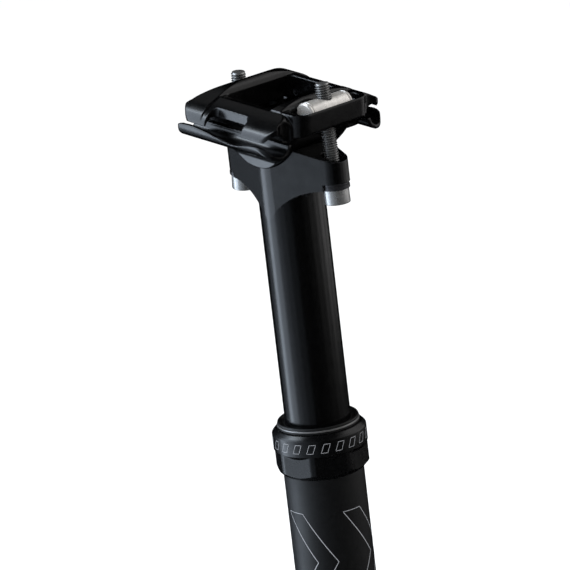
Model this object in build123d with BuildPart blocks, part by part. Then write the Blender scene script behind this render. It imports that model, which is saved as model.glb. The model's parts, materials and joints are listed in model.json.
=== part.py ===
"""Telescopic suspension seatpost, 27.2 mm, 50 mm of travel, two-bolt rail clamp.

Millimetres. +Z runs up the post, +X is the front of the bicycle and +Y its left side.
The origin is the centre of the outer tube's bottom end.
"""

import os
from math import atan2, cos, pi, radians, sin, sqrt

from build123d import *

# ---------------------------------------------------------------- driving dimensions
RAIL_HEIGHT = 350.0        # bottom of the post to the middle of the saddle rails
TRAVEL = 50.0              # how far the stanchion sinks
PRELOAD_TRAVEL = 5.0       # how far the preload plug can push the spring seat up

TUBE_R = 13.6              # outer tube, 27.2 mm
TUBE_BORE_R = 12.1
TUBE_SHOULDER_R = 11.5     # narrower bore that stops the stanchion's guide bushing
TUBE_TOP = 238.4
TUBE_NECK_R = 13.0         # turned-down top that the collar screws onto
TUBE_NECK_Z = 228.2        # full diameter ends here, just under the collar
SHOULDER_Z = (170.0, 213.8)
KEYWAY_Z = (80.0, 168.0)
KEYWAY_R = 12.9
KEY_COUNT = 3
KEY_R = 1.4
KEY_Z = 143.0

STANCHION_R = 11.1         # 22.2 mm
STANCHION_BORE_R = 9.1
STANCHION_BOTTOM = 140.0
STANCHION_BORE_TOP = 312.0
GUIDE_Z = (146.0, 166.0)   # groove for the lower guide bushing
GUIDE_GROOVE_R = 10.7
RUNNING_FIT = 0.05         # radial clearance of the sliding pairs

COLLAR_Z = (228.3, 244.0)
COLLAR_R = 15.9
COLLAR_FLAT = 14.95        # distance from the axis to each wrench flat
COLLAR_FLATS = 8
COLLAR_TURN = -9.0         # where the flats stopped when the collar was screwed home
COLLAR_BAND_Z = 236.4      # bottom of the plain band above the flats
SEAL_R = 13.7
SEAL_TOP = 246.2

LUG_X = 21.8               # bolt lugs, front and rear
LUG_R = 5.1
LUG_SWIVEL_Z = 337.24      # centre of the spherical washers
LUG_FACE_Z = 330.5         # spot face under each lug
HEAD_Z = (306.0, 341.6)
ARCH_X = 21.4              # centre of the round relief under each arm
ARCH_Z = 302.6
ARCH_R = 25.6
SADDLE_R = 14.4            # round underside of the cradle
SADDLE_GAP = 0.25

CLAMP_TILT = 6.0           # clamp's nose-down angle as stored
RAIL_R = 3.5
RAIL_Y = 22.0
NUT_X = 20.6               # barrel nuts, in the clamp's own frame
FRONT_NUT_Z = 7.17
REAR_NUT_Z = 2.9
NUT_R = 4.0
NUT_LENGTH = 18.6
NUT_CHAMFER = 0.5
NUT_GROOVE = (1.0, 1.5)    # from each end, 0.3 deep
NUT_BORE_R = 2.9

POCKET_R = 4.1
POCKET_LENGTH = 27.6
CRADLE_LENGTH = 45.0
CRADLE_TOP = -1.0          # heights in the clamp's own frame, above the rails' middle
TROUGH_R = 4.9
TROUGH_RIM = 0.6
TROUGH_INNER_RIM = -0.3
RIM_DIP = ((-23.0, -1.3), (-21.8, -0.1), (-19.5, 0.4), (-14.8, 0.5), (-10.0, 0.1), (-5.2, -0.6),
           (-0.5, -1.6), (3.4, -2.1), (8.2, -1.4), (13.5, -0.4), (17.5, -0.4), (20.8, -1.2),
           (23.0, -2.8))
BLOCK_X = 25.5
BLOCK_Y = 16.1
BLOCK_BOTTOM = 1.5
BLOCK_STEP = 16.4          # the rear block's underside is lower behind this
FRONT_RIM = 9.0
REAR_RIM = 4.9
RIDGE_X = 14.4
RIDGE_TOP = 11.1
RIDGE_DOME = ((-25.7, 2.0), (-24.5, 4.7), (-22.0, 6.7), (-19.0, 8.1), (-15.0, 9.5), (-8.0, 10.8),
              (0.0, 11.2))
WING_CROWN = ((-25.9, 1.2), (-25.4, 3.0), (-24.2, 4.5), (-22.0, 6.0), (-19.3, 7.5), (-16.6, 8.6))
WING_X = (-22.5, 22.0)
WING_Y = 25.9
NECK_X = 24.0
NECK_Y = 19.4
NECK_R = 3.6
CAVITY_X = 11.8
CAVITY_Y = 14.6
NOTCH_X = (-9.5, 7.5)
NOTCH_Y = 20.9

BOLT_R = 2.5               # M5
BOLT_THREAD_R = 2.42
BOLT_HEAD_R = 4.25
BOLT_HEAD_LENGTH = 5.0
BOLT_LENGTH = 35.3         # under the head
BOLT_PLAIN = 9.0           # unthreaded part under the head
SOCKET_FLAT = 2.0          # axis to each flat of the 4 mm hex socket
SOCKET_DEPTH = 2.8
SWIVEL_R = 9.0             # spherical faces of the washers
WASHER_R = 4.75
WASHER_BORE_R = 3.4
CUP_BOTTOM = 8.94          # swivel centre down to the cup washer's flat face

SPRING_SEAT_Z = 17.0
SPRING_Z = (20.0, 137.0)
SPRING_R = 9.0             # to the middle of the wire
WIRE_R = 1.7
SPRING_TURNS = 14.5

os.makedirs("parts", exist_ok=True)

# ---------------------------------------------------------------- frames
tilt = radians(CLAMP_TILT)
clamp_centre = Vector(0, 0, RAIL_HEIGHT)
clamp_x = Vector(cos(tilt), 0, -sin(tilt))
clamp_z = Vector(sin(tilt), 0, cos(tilt))
clamp_plan = Plane(origin=clamp_centre, x_dir=clamp_x, z_dir=clamp_z)
clamp_side = Plane(origin=clamp_centre, x_dir=clamp_x, z_dir=(0, -1, 0))
clamp_section = Plane(origin=clamp_centre, x_dir=(0, 1, 0), z_dir=clamp_x)
post_side = Plane.XZ


def finish(builder, name):
    """Label a finished piece and write it as its own STEP file."""
    builder.part.label = name
    export_step(builder.part, f"parts/{name}.step")


def swivel(end):
    """Centre of the spherical washers of the front (1) or rear (-1) lug."""
    return Vector(end * LUG_X, 0, LUG_SWIVEL_Z)


def clamp_nut(end):
    """Barrel nut axis in the clamp's side view: (along the rails, above them)."""
    return (end * NUT_X, FRONT_NUT_Z if end > 0 else REAR_NUT_Z)


def nut_centre(end):
    along, up = clamp_nut(end)
    return clamp_plan.from_local_coords(Vector(along, 0, up))


def bolt_plane(end):
    """Plane across a bolt at its swivel centre; its normal runs up the bolt."""
    along = (nut_centre(end) - swivel(end)).normalized()
    return Plane(origin=swivel(end), x_dir=(along.Z, 0, -along.X), z_dir=along)


def bolt_side(end):
    """Plane through a bolt's axis, y up the bolt."""
    across = bolt_plane(end)
    return Plane(origin=across.origin, x_dir=across.x_dir, z_dir=(0, -1, 0))


def ring_profile(inner, outer, low, high):
    """Half section of a plain ring, for a revolve about the drawing's y axis."""
    with Locations(((inner + outer) / 2, (low + high) / 2)):
        Rectangle(outer - inner, high - low)


# ---------------------------------------------------------------- outer assembly
def make_outer_tube():
    with BuildPart() as outer_tube:
        with BuildSketch(post_side):
            with BuildLine():
                Polyline(
                    (TUBE_BORE_R + 0.4, 0), (TUBE_R, 0),
                    (TUBE_R, TUBE_NECK_Z), (TUBE_NECK_R, TUBE_NECK_Z), (TUBE_NECK_R, TUBE_TOP),
                    (TUBE_BORE_R, TUBE_TOP), (TUBE_BORE_R, SHOULDER_Z[1]),
                    (TUBE_SHOULDER_R, SHOULDER_Z[1]), (TUBE_SHOULDER_R, SHOULDER_Z[0]),
                    (TUBE_BORE_R, SHOULDER_Z[0]), (TUBE_BORE_R, 0.4), (TUBE_BORE_R + 0.4, 0),
                )
            make_face()
        revolve(axis=Axis.Z)
        with BuildSketch(Plane.XY.offset(KEYWAY_Z[0])):
            with PolarLocations((TUBE_BORE_R + KEYWAY_R) / 2, KEY_COUNT):
                Rectangle(KEYWAY_R - TUBE_BORE_R + 0.4, 2 * KEY_R + 0.2)
        extrude(amount=KEYWAY_Z[1] - KEYWAY_Z[0], mode=Mode.SUBTRACT)
    finish(outer_tube, "outer_tube")


def make_lock_collar():
    """Screwed ring with eight wrench flats; it traps the bushing and carries the wiper."""
    bottom, top = COLLAR_Z
    thread_bore = TUBE_NECK_R + 0.05
    with BuildPart() as lock_collar:
        with BuildSketch(post_side):
            with BuildLine():
                Polyline(
                    (thread_bore, bottom), (13.95, bottom), (COLLAR_R - 0.05, bottom + 1.95),
                    (COLLAR_R - 0.05, COLLAR_BAND_Z), (COLLAR_R, COLLAR_BAND_Z),
                    (COLLAR_R, top - 1.6), (COLLAR_R - 0.35, top - 1.1), (14.5, top),
                    (13.3, top), (13.3, 240.4), (11.7, 240.4), (11.7, 239.3),
                    (thread_bore, 239.3), (thread_bore, bottom),
                )
            make_face()
        revolve(axis=Axis.Z)
        with BuildSketch(Plane.XY.offset(bottom - 1)):
            Circle(COLLAR_R + 3)
            RegularPolygon(COLLAR_FLAT, COLLAR_FLATS, major_radius=False, rotation=COLLAR_TURN,
                           mode=Mode.SUBTRACT)
        extrude(amount=COLLAR_BAND_Z - bottom - 0.4, mode=Mode.SUBTRACT)
        with BuildSketch(Plane.XY.offset(COLLAR_BAND_Z + 0.6)):
            Circle(COLLAR_R + 3)
            Circle(COLLAR_R, mode=Mode.SUBTRACT)
        with BuildSketch(Plane.XY.offset(COLLAR_BAND_Z - 1.4)):
            Circle(COLLAR_R + 3)
            Circle(COLLAR_FLAT - 0.6, mode=Mode.SUBTRACT)
        loft(mode=Mode.SUBTRACT)
    finish(lock_collar, "lock_collar")


def make_wiper_seal():
    with BuildPart() as wiper_seal:
        with BuildSketch(post_side):
            with BuildLine():
                Polyline(
                    (STANCHION_R + RUNNING_FIT, 245.5), (STANCHION_R + 0.7, 245.3),
                    (12.6, 245.6), (13.1, SEAL_TOP), (SEAL_R - 0.2, SEAL_TOP),
                    (SEAL_R, 245.9), (SEAL_R, 245.5), (SEAL_R - 0.45, 245.4),
                    (SEAL_R - 0.45, 244.7), (SEAL_R, 244.6), (SEAL_R, 244.05), (13.2, 244.05),
                    (13.2, 240.45), (12.0, 240.45), (12.0, 243.6), (STANCHION_R + 0.6, 244.4),
                    (STANCHION_R + RUNNING_FIT, 244.9), (STANCHION_R + RUNNING_FIT, 245.5),
                )
            make_face()
        revolve(axis=Axis.Z)
    finish(wiper_seal, "wiper_seal")


def make_seal_ring():
    """Steel ring in the wiper's groove; it keeps the lip pressed on the stanchion."""
    with BuildPart() as seal_ring:
        with BuildSketch(post_side):
            with Locations((SEAL_R - 0.07, 245.05)):
                Circle(0.33)
        revolve(axis=Axis.Z)
    finish(seal_ring, "seal_ring")


def make_upper_bushing():
    with BuildPart() as upper_bushing:
        with BuildSketch(post_side):
            ring_profile(STANCHION_R + RUNNING_FIT, TUBE_BORE_R, 214.0, TUBE_TOP)
            ring_profile(STANCHION_R + RUNNING_FIT, 12.8, TUBE_TOP, TUBE_TOP + 0.85)
        revolve(axis=Axis.Z)
    finish(upper_bushing, "upper_bushing")


# ---------------------------------------------------------------- preload end
def make_spring_seat():
    with BuildPart() as spring_seat:
        with BuildSketch(Plane.XY.offset(SPRING_SEAT_Z)):
            Circle(TUBE_BORE_R - 0.3)
        extrude(amount=SPRING_Z[0] - SPRING_SEAT_Z)
        with BuildSketch(Plane.XY.offset(SPRING_Z[0])):
            Circle(SPRING_R - WIRE_R - 0.4)
        extrude(amount=4.0)
        with BuildSketch(Plane.XY.offset(21.0)):
            Circle(2.0)
        extrude(amount=3.0, mode=Mode.SUBTRACT)
    finish(spring_seat, "spring_seat")


def make_bottom_out_bumper():
    with BuildPart() as bottom_out_bumper:
        with BuildSketch(post_side):
            with BuildLine():
                Polyline((0, 21.0), (1.95, 21.0), (1.95, 24.0), (5.5, 24.0), (5.5, 28.0), (4.0, 30.0),
                         (0, 30.0), (0, 21.0))
            make_face()
        revolve(axis=Axis.Z)
    finish(bottom_out_bumper, "bottom_out_bumper")


def make_preload_plug():
    with BuildPart() as preload_plug:
        with BuildSketch(post_side):
            with BuildLine():
                Polyline(
                    (0, 2.0), (11.3, 2.0), (12.04, 2.7), (12.04, 12.0), (11.0, 12.0),
                    (11.0, 14.0), (12.04, 14.0), (12.04, 16.2), (11.3, 16.9), (0, 16.9), (0, 2.0),
                )
            make_face()
        revolve(axis=Axis.Z)
        with BuildSketch(Plane.XY.offset(2.0)):
            RegularPolygon(4.0, 6, major_radius=False)
        extrude(amount=8.0, mode=Mode.SUBTRACT)
    finish(preload_plug, "preload_plug")


def make_plug_o_ring():
    with BuildPart() as plug_o_ring:
        with BuildSketch(post_side):
            with Locations((11.55, 13.0)):
                Circle(0.5)
        revolve(axis=Axis.Z)
    finish(plug_o_ring, "plug_o_ring")


# ---------------------------------------------------------------- stanchion assembly
def make_stanchion():
    """One forging: the sliding tube and the head with its two bolt lugs."""
    lean = (STANCHION_R - LUG_R) / LUG_X
    flank = sqrt(1 - lean * lean)
    with BuildPart() as stanchion:
        with BuildSketch(Plane.XY.offset(HEAD_Z[0])):
            Circle(STANCHION_R)
            with Locations((LUG_X, 0), (-LUG_X, 0)):
                Circle(LUG_R)
            with BuildLine():
                Polyline(
                    (STANCHION_R * lean, STANCHION_R * flank),
                    (LUG_X + LUG_R * lean, LUG_R * flank),
                    (LUG_X + LUG_R * lean, -LUG_R * flank),
                    (STANCHION_R * lean, -STANCHION_R * flank),
                    (-STANCHION_R * lean, -STANCHION_R * flank),
                    (-LUG_X - LUG_R * lean, -LUG_R * flank),
                    (-LUG_X - LUG_R * lean, LUG_R * flank),
                    (-STANCHION_R * lean, STANCHION_R * flank),
                    close=True,
                )
            make_face()
        extrude(amount=HEAD_Z[1] - HEAD_Z[0])
        with BuildSketch(post_side):
            with Locations((ARCH_X, ARCH_Z), (-ARCH_X, ARCH_Z)):
                Circle(ARCH_R)
        extrude(amount=STANCHION_R + 5, both=True, mode=Mode.SUBTRACT)
        with BuildSketch(post_side):
            ring_profile(0, STANCHION_R, STANCHION_BOTTOM, RAIL_HEIGHT - SADDLE_R - 5)
        revolve(axis=Axis.Z)
        with BuildSketch(post_side):
            with BuildLine():
                Polyline((11.9, 341.6), (28.5, 337.3), (28.5, 348), (-28.5, 348), (-28.5, 337.3),
                         (-11.9, 341.6), (11.9, 341.6))
            make_face()
        extrude(amount=20, both=True, mode=Mode.SUBTRACT)
        with BuildSketch(post_side):
            with Locations((0, RAIL_HEIGHT)):
                Circle(SADDLE_R + SADDLE_GAP)
        extrude(amount=20, both=True, mode=Mode.SUBTRACT)
        with BuildSketch(Plane.XY.offset(STANCHION_BOTTOM)):
            Circle(STANCHION_BORE_R)
        extrude(amount=STANCHION_BORE_TOP - STANCHION_BOTTOM, mode=Mode.SUBTRACT)
        with BuildSketch(post_side):
            ring_profile(GUIDE_GROOVE_R, STANCHION_R + 1, *GUIDE_Z)
        revolve(axis=Axis.Z, mode=Mode.SUBTRACT)
        for end in (1, -1):
            with BuildSketch(Plane.XY.offset(LUG_FACE_Z)):
                with Locations((end * (LUG_X + 0.2), 0)):
                    Circle(LUG_R + 0.15)
                    with Locations((end * 3, 0)):
                        Circle(LUG_R + 0.15)
            extrude(amount=-8, mode=Mode.SUBTRACT)
            with BuildSketch(bolt_plane(end).offset(-10)):
                SlotCenterToCenter(0.8, 6.4)
            extrude(amount=20, mode=Mode.SUBTRACT)
        for turn in range(KEY_COUNT):
            with BuildSketch(Plane(origin=(0, 0, KEY_Z),
                                   x_dir=(0, 0, 1),
                                   z_dir=(cos(radians(turn * 360 / KEY_COUNT)),
                                          sin(radians(turn * 360 / KEY_COUNT)), 0))):
                Circle(KEY_R)
            extrude(amount=STANCHION_R + 2, mode=Mode.SUBTRACT)
    finish(stanchion, "stanchion")


def make_key_pins():
    """Brass pins that stand out of the stanchion into the tube's three keyways."""
    with BuildPart() as key_pins:
        for turn in range(KEY_COUNT):
            angle = radians(turn * 360 / KEY_COUNT)
            outward = Vector(cos(angle), sin(angle), 0)
            with BuildSketch(Plane(origin=outward * 9.3 + Vector(0, 0, KEY_Z), x_dir=(0, 0, 1),
                                   z_dir=outward)):
                Circle(KEY_R)
            extrude(amount=KEYWAY_R - 0.25 - 9.3)
    finish(key_pins, "key_pins")


def make_lower_bushing():
    """Split guide ring snapped into the stanchion's groove."""
    with BuildPart() as lower_bushing:
        with BuildSketch(post_side):
            ring_profile(GUIDE_GROOVE_R + 0.02, TUBE_BORE_R - RUNNING_FIT,
                         GUIDE_Z[0] + 0.1, GUIDE_Z[1] - 0.1)
        revolve(axis=Axis.Z)
        with BuildSketch(Plane.XY.offset(GUIDE_Z[0])):
            with PolarLocations(TUBE_BORE_R, 1, start_angle=60):
                Rectangle(6, 0.8)
        extrude(amount=GUIDE_Z[1] - GUIDE_Z[0], mode=Mode.SUBTRACT)
    finish(lower_bushing, "lower_bushing")


def make_top_out_ring():
    with BuildPart() as top_out_ring:
        with BuildSketch(post_side):
            ring_profile(STANCHION_R + 0.02, TUBE_BORE_R - 0.2, GUIDE_Z[1], SHOULDER_Z[0] - 0.2)
        revolve(axis=Axis.Z)
    finish(top_out_ring, "top_out_ring")


def make_end_plug():
    """Plug screwed into the stanchion's lower end; the spring pushes on its flange."""
    with BuildPart() as end_plug:
        with BuildSketch(post_side):
            ring_profile(0, STANCHION_R - 0.2, SPRING_Z[1], STANCHION_BOTTOM)
            ring_profile(0, STANCHION_BORE_R, STANCHION_BOTTOM, KEY_Z - KEY_R - 0.2)
            ring_profile(0, 8.5, KEY_Z - KEY_R - 0.2, 152.0)
            ring_profile(0, SPRING_R - WIRE_R - 0.4, SPRING_Z[1] - 4, SPRING_Z[1])
        revolve(axis=Axis.Z)
        with BuildSketch(Plane.XY.offset(SPRING_Z[1] - 4)):
            Circle(3.0)
        extrude(amount=12, mode=Mode.SUBTRACT)
    finish(end_plug, "end_plug")


def make_guide_rod():
    """Plastic rod inside the spring; it keeps the coils straight and ends the stroke."""
    with BuildPart() as guide_rod:
        with BuildSketch(post_side):
            with BuildLine():
                Polyline((0, 86.0), (4.0, 86.0), (5.0, 87.5), (5.0, SPRING_Z[1] - 4),
                         (3.0, SPRING_Z[1] - 4), (3.0, 144.0), (0, 144.0), (0, 86.0))
            make_face()
        revolve(axis=Axis.Z)
    finish(guide_rod, "guide_rod")


def make_main_spring():
    low, high = SPRING_Z
    pitch = (high - low) / SPRING_TURNS
    rise = atan2(pitch, 2 * pi * SPRING_R)
    with BuildPart() as main_spring:
        with BuildLine():
            Helix(pitch, high - low, SPRING_R, center=(0, 0, low))
        with BuildSketch(Plane(origin=(SPRING_R, 0, low), x_dir=(1, 0, 0),
                               z_dir=(0, cos(rise), sin(rise)))):
            Circle(WIRE_R)
        sweep(is_frenet=True)
        with BuildSketch(Plane.XY.offset(low + 0.02)):
            Circle(20)
        extrude(amount=-5, mode=Mode.SUBTRACT)
        with BuildSketch(Plane.XY.offset(high - 0.02)):
            Circle(20)
        extrude(amount=5, mode=Mode.SUBTRACT)
    finish(main_spring, "main_spring")


# ---------------------------------------------------------------- rail clamp
def make_lower_cradle():
    """Round-bottomed keel with a half-pipe trough on each side for the saddle rails."""
    half = CRADLE_LENGTH / 2
    with BuildPart() as lower_cradle:
        with BuildSketch(clamp_section.offset(-half)):
            with Locations((RAIL_Y, 0), (-RAIL_Y, 0)):
                Circle(TROUGH_R)
            with Locations((0, TROUGH_RIM + 10)):
                Rectangle(80, 20, mode=Mode.SUBTRACT)
            with Locations((0, TROUGH_INNER_RIM + 5)):
                Rectangle(2 * RAIL_Y, 10, mode=Mode.SUBTRACT)
        extrude(amount=CRADLE_LENGTH)
        with BuildSketch(clamp_plan.offset(-8)):
            RectangleRounded(CRADLE_LENGTH, 2 * (RAIL_Y + TROUGH_R), 7)
            with Locations((-half / 2, 0)):
                RectangleRounded(half, 2 * (RAIL_Y + TROUGH_R), 1.6)
        extrude(amount=12, mode=Mode.INTERSECT)
        # webs between the troughs and the keel
        with BuildSketch(clamp_plan.offset(-4.2)):
            with GridLocations(0, 2 * 16.0, 1, 2):
                RectangleRounded(32, 9, 3)
        extrude(amount=4.2 + CRADLE_TOP)
        # keel: a drum about the tilt axis, cut off level under the troughs
        with BuildSketch(clamp_side):
            Circle(SADDLE_R)
            with Locations((0, 20 + CRADLE_TOP)):
                Rectangle(60, 40, mode=Mode.SUBTRACT)
        extrude(amount=16.5, both=True)
        for side in (1, -1):
            with BuildSketch(clamp_section.offset(-16)):
                with BuildLine():
                    Polyline((side * 12.2, -15), (side * 12.6, -11), (side * 16.6, -4.7),
                             (side * 18, -4.7), (side * 18, -15), close=True)
                make_face()
            extrude(amount=32, mode=Mode.SUBTRACT)
        with BuildSketch(clamp_section.offset(-half)):
            with Locations((RAIL_Y, 0), (-RAIL_Y, 0)):
                Circle(RAIL_R)
        extrude(amount=CRADLE_LENGTH, mode=Mode.SUBTRACT)
        # each outer rim dips between its raised rear tip and its front tip
        for side in (1, -1):
            with BuildSketch(clamp_side.offset(side * (RAIL_Y + 4))):
                with BuildLine():
                    Spline(*RIM_DIP)
                    Polyline(RIM_DIP[-1], (RIM_DIP[-1][0], 2), (RIM_DIP[0][0], 2), RIM_DIP[0])
                make_face()
            extrude(amount=4, both=True, mode=Mode.SUBTRACT)
        # two pockets that lighten the keel, with a cross rib between them
        with BuildSketch(clamp_plan.offset(CRADLE_TOP)):
            with GridLocations(11.0, 0, 2, 1):
                RectangleRounded(8.4, 19, 2)
        extrude(amount=-6.0, mode=Mode.SUBTRACT)
    finish(lower_cradle, "lower_cradle")


def dome_section():
    """Section across the clamp under the ridges' crown, which falls away to both sides."""
    edge, low = RIDGE_DOME[0]
    with BuildSketch(clamp_section.offset(-30)) as section:
        with BuildLine():
            Spline(*RIDGE_DOME, *[(-y, z) for y, z in reversed(RIDGE_DOME[:-1])])
            Polyline((-edge, low), (-edge, -5), (edge, -5), (edge, low))
        make_face()
    return section.sketch


def make_clamp_blocks():
    """Front and rear pocket blocks of the upper clamp, with the ridge beside each."""
    with BuildPart() as clamp_blocks:
        with BuildSketch(clamp_plan.offset(-5)):
            RectangleRounded(2 * BLOCK_X, 2 * BLOCK_Y, 5)
        extrude(amount=18)
        with BuildSketch(clamp_side):
            with BuildLine():
                Line((-BLOCK_STEP, -2.2), (-BLOCK_X + 0.9, -2.2))
                Line((-BLOCK_X + 0.9, -2.2), (-BLOCK_X, -1.4))
                Line((-BLOCK_X, -1.4), (-BLOCK_X, REAR_RIM))
                Line((-BLOCK_X, REAR_RIM), (-22.6, REAR_RIM))
                ThreePointArc((-22.6, REAR_RIM), (-18.6, 9.1), (-RIDGE_X, RIDGE_TOP))
                ThreePointArc((-RIDGE_X, RIDGE_TOP), (-RIDGE_X + 1.8, 9.9), (-RIDGE_X + 2.6, 8.4))
                Line((-RIDGE_X + 2.6, 8.4), (RIDGE_X - 2.6, 8.4))
                ThreePointArc((RIDGE_X - 2.6, 8.4), (RIDGE_X - 1.8, 9.9), (RIDGE_X, RIDGE_TOP))
                ThreePointArc((RIDGE_X, RIDGE_TOP), (RIDGE_X + 1.4, 10.2), (RIDGE_X + 2.2, FRONT_RIM))
                Line((RIDGE_X + 2.2, FRONT_RIM), (BLOCK_X, FRONT_RIM))
                Line((BLOCK_X, FRONT_RIM), (BLOCK_X, BLOCK_BOTTOM + 0.8))
                Line((BLOCK_X, BLOCK_BOTTOM + 0.8), (BLOCK_X - 0.9, BLOCK_BOTTOM))
                Line((BLOCK_X - 0.9, BLOCK_BOTTOM), (-BLOCK_STEP, BLOCK_BOTTOM))
                Line((-BLOCK_STEP, BLOCK_BOTTOM), (-BLOCK_STEP, -2.2))
            make_face()
        extrude(amount=30, both=True, mode=Mode.INTERSECT)
        extrude(dome_section(), amount=60, mode=Mode.INTERSECT)
    return clamp_blocks.part


def make_ridge_ends():
    """The rear ridge carried on over both wings, down to their outer edges."""
    with BuildPart() as ridge_ends:
        with BuildSketch(clamp_plan.offset(-1.0)):
            with Locations(((WING_X[0] + WING_X[1]) / 2, 0)):
                RectangleRounded(WING_X[1] - WING_X[0], 2 * WING_Y, 6)
        extrude(amount=15)
        extrude(dome_section(), amount=60, mode=Mode.INTERSECT)
        with BuildSketch(clamp_side):
            with BuildLine():
                ThreePointArc((-22.6, REAR_RIM), (-18.6, 9.1), (-RIDGE_X, RIDGE_TOP))
                ThreePointArc((-RIDGE_X, RIDGE_TOP), (-RIDGE_X + 1.8, 9.9), (-RIDGE_X + 2.6, 8.4))
                Polyline((-RIDGE_X + 2.6, 8.4), (-RIDGE_X + 2.6, 2.0), (-22.6, 2.0),
                         (-22.6, REAR_RIM))
            make_face()
        extrude(amount=30, both=True, mode=Mode.INTERSECT)
    return ridge_ends.part


def make_upper_clamp():
    """Bridge over both rails: a frame with a pocket for each barrel nut and two side wings."""
    blocks = make_clamp_blocks()
    ridge_ends = make_ridge_ends()
    wing_length = WING_X[1] - WING_X[0]
    wing_middle = (WING_X[0] + WING_X[1]) / 2
    with BuildPart() as upper_clamp:
        with BuildSketch(clamp_plan.offset(-1.0)):
            with Locations((wing_middle, 0)):
                RectangleRounded(wing_length, 2 * WING_Y, 6)
        extrude(amount=13)
        # across the clamp: the wings fall away from the middle
        with BuildSketch(clamp_section.offset(-30)):
            with BuildLine():
                Polyline((-15.8, BLOCK_BOTTOM), (-15.8, 0.5), (-19.0, 0.5), WING_CROWN[0])
                Spline(*WING_CROWN)
                Line(WING_CROWN[-1], (-WING_CROWN[-1][0], WING_CROWN[-1][1]))
                Spline(*[(-y, z) for y, z in reversed(WING_CROWN)])
                Polyline((-WING_CROWN[0][0], WING_CROWN[0][1]), (19.0, 0.5), (15.8, 0.5),
                         (15.8, BLOCK_BOTTOM), (-15.8, BLOCK_BOTTOM))
            make_face()
        extrude(amount=60, mode=Mode.INTERSECT)
        # along the clamp: both ends of the wings are rounded over
        with BuildSketch(clamp_side):
            with BuildLine():
                Line((WING_X[0], -1), (WING_X[0], 3.4))
                ThreePointArc((WING_X[0], 3.4), (-20.6, 6.9), (-16.0, 8.6))
                Line((-16.0, 8.6), (17.5, 8.6))
                ThreePointArc((17.5, 8.6), (20.9, 7.0), (WING_X[1], 4.4))
                Line((WING_X[1], 4.4), (WING_X[1], -1))
                Line((WING_X[1], -1), (WING_X[0], -1))
            make_face()
        extrude(amount=30, both=True, mode=Mode.INTERSECT)
        add(blocks)
        add(ridge_ends)
        # hollow necks between the front block and the wings
        with BuildSketch(clamp_plan.offset(-6)):
            with Locations((NECK_X, NECK_Y), (NECK_X, -NECK_Y), (-NECK_X, NECK_Y), (-NECK_X, -NECK_Y)):
                Circle(NECK_R)
        extrude(amount=20, mode=Mode.SUBTRACT)
        # open middle
        with BuildSketch(clamp_plan.offset(-5)):
            RectangleRounded(2 * CAVITY_X, 2 * CAVITY_Y, 2.5)
        extrude(amount=20, mode=Mode.SUBTRACT)
        # rail grooves
        with BuildSketch(clamp_section.offset(-30)):
            with Locations((RAIL_Y, 0), (-RAIL_Y, 0)):
                Circle(RAIL_R)
        extrude(amount=60, mode=Mode.SUBTRACT)
        # windows that split each wing into a front and a rear finger
        for side in (1, -1):
            with BuildSketch(clamp_plan.offset(-2)):
                with Locations(((NOTCH_X[0] + NOTCH_X[1]) / 2, side * (NOTCH_Y + 5))):
                    RectangleRounded(NOTCH_X[1] - NOTCH_X[0], 10, 2.0)
            extrude(amount=16, mode=Mode.SUBTRACT)
        # nut pockets, open on top, with a slot below for the bolt
        for end in (1, -1):
            centre = clamp_nut(end)
            with BuildSketch(clamp_side.offset(-NUT_LENGTH / 2 - 0.6)):
                with Locations(centre):
                    Circle(POCKET_R)
                with Locations((centre[0], centre[1] + 7)):
                    Rectangle(2 * POCKET_R, 14)
            extrude(amount=NUT_LENGTH + 1.2, mode=Mode.SUBTRACT)
            with BuildSketch(clamp_plan.offset(centre[1] - 0.5)):
                with Locations((centre[0], 0)):
                    SlotOverall(POCKET_LENGTH, 2 * POCKET_R, rotation=90)
            extrude(amount=12, mode=Mode.SUBTRACT)
            with BuildSketch(clamp_plan.offset(centre[1] - 8)):
                with Locations((centre[0], 0)):
                    SlotCenterToCenter(1.8, 6.0)
            extrude(amount=8, mode=Mode.SUBTRACT)
    finish(upper_clamp, "upper_clamp")


# ---------------------------------------------------------------- fasteners, front and rear
def make_barrel_nut(end, name):
    centre = nut_centre(end)
    half = NUT_LENGTH / 2
    near, far = NUT_GROOVE
    with BuildPart() as barrel_nut:
        with BuildSketch(Plane(origin=centre, x_dir=(0, 1, 0), z_dir=(-1, 0, 0))):
            with BuildLine():
                Polyline(
                    (-half, 0), (-half, NUT_R - NUT_CHAMFER), (-half + NUT_CHAMFER, NUT_R),
                    (-half + near, NUT_R), (-half + near, NUT_R - 0.3),
                    (-half + far, NUT_R - 0.3), (-half + far, NUT_R), (half - far, NUT_R),
                    (half - far, NUT_R - 0.3), (half - near, NUT_R - 0.3), (half - near, NUT_R),
                    (half - NUT_CHAMFER, NUT_R), (half, NUT_R - NUT_CHAMFER), (half, 0), (-half, 0),
                )
            make_face()
        revolve(axis=Axis(centre, (0, 1, 0)))
        across = bolt_plane(end)
        with BuildSketch(Plane(origin=centre, x_dir=across.x_dir, z_dir=across.z_dir).offset(-6)):
            Circle(NUT_BORE_R)
        extrude(amount=12, mode=Mode.SUBTRACT)
    finish(barrel_nut, name)


def sphere_drop(radius, ball=SWIVEL_R):
    return -sqrt(ball * ball - radius * radius)


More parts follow.
